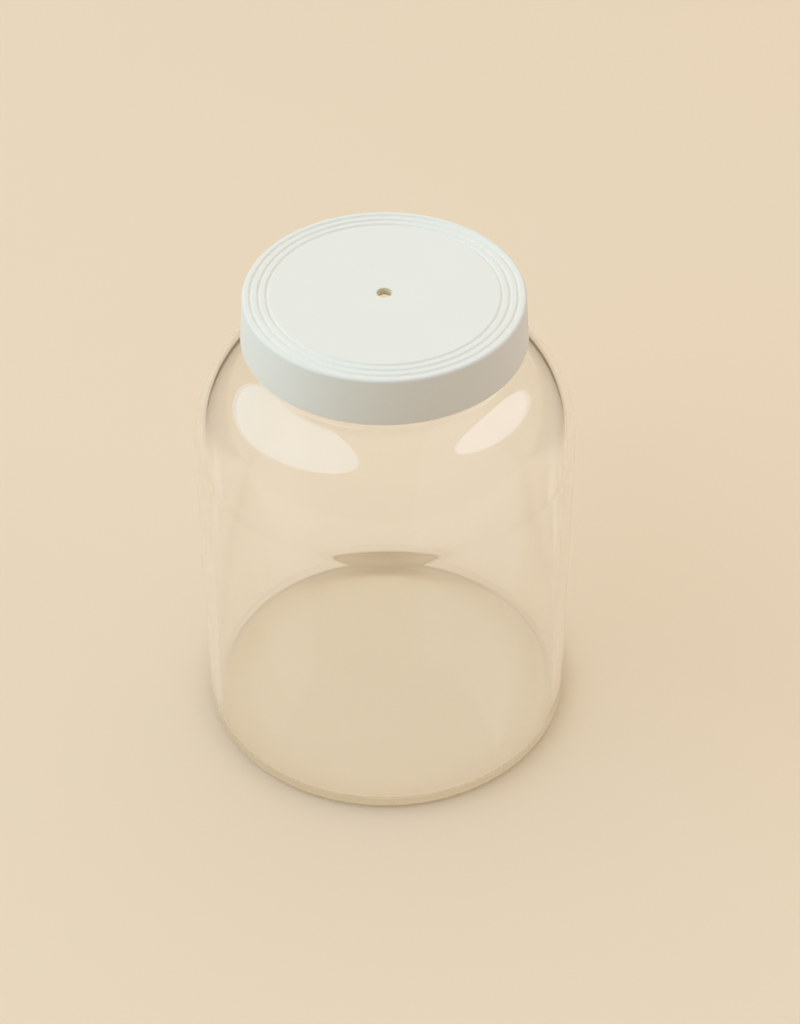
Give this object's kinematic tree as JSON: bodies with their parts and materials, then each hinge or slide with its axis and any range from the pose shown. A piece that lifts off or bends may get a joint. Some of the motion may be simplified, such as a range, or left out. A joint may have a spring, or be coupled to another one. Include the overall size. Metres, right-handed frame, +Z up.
{
  "type": "sourdough starter jar",
  "caption": "Clear glass jar with a straight round body, rounded shoulder and short threaded neck, closed by a white plastic screw lid with a small central vent hole.",
  "frame": {"origin": "centre of the circle the jar stands on, at floor level", "axes": "+Z up along the axis of the jar; the jar is round, and +X is the angle at which the neck thread starts"},
  "size_m": [0.105, 0.105, 0.1433],
  "materials": {
    "glass": "clear, smooth, fire-polished",
    "lid_plastic": "warm white, fine matt, moulded",
    "gasket_silicone": "soft translucent white silicone"
  },
  "bodies": {
    "jar": {"glass_jar": "glass"},
    "seal": {"lid_gasket": "gasket_silicone"},
    "cap": {"lid": "lid_plastic"}
  },
  "joints": [
    {"name": "lid_rise", "type": "slide", "parent": "jar", "child": "seal", "axis": [0, 0, 1], "range_m": [0, 0.0168]},
    {"name": "lid_turn", "type": "hinge", "parent": "seal", "child": "cap", "pos_m": [0, 0, 0.14], "axis": [0, 0, 1], "range_deg": [0, 1440]}
  ],
  "couplings": [
    {"joint": "lid_rise", "follows": "lid_turn", "m_per_rad": 0.00066845}
  ]
}
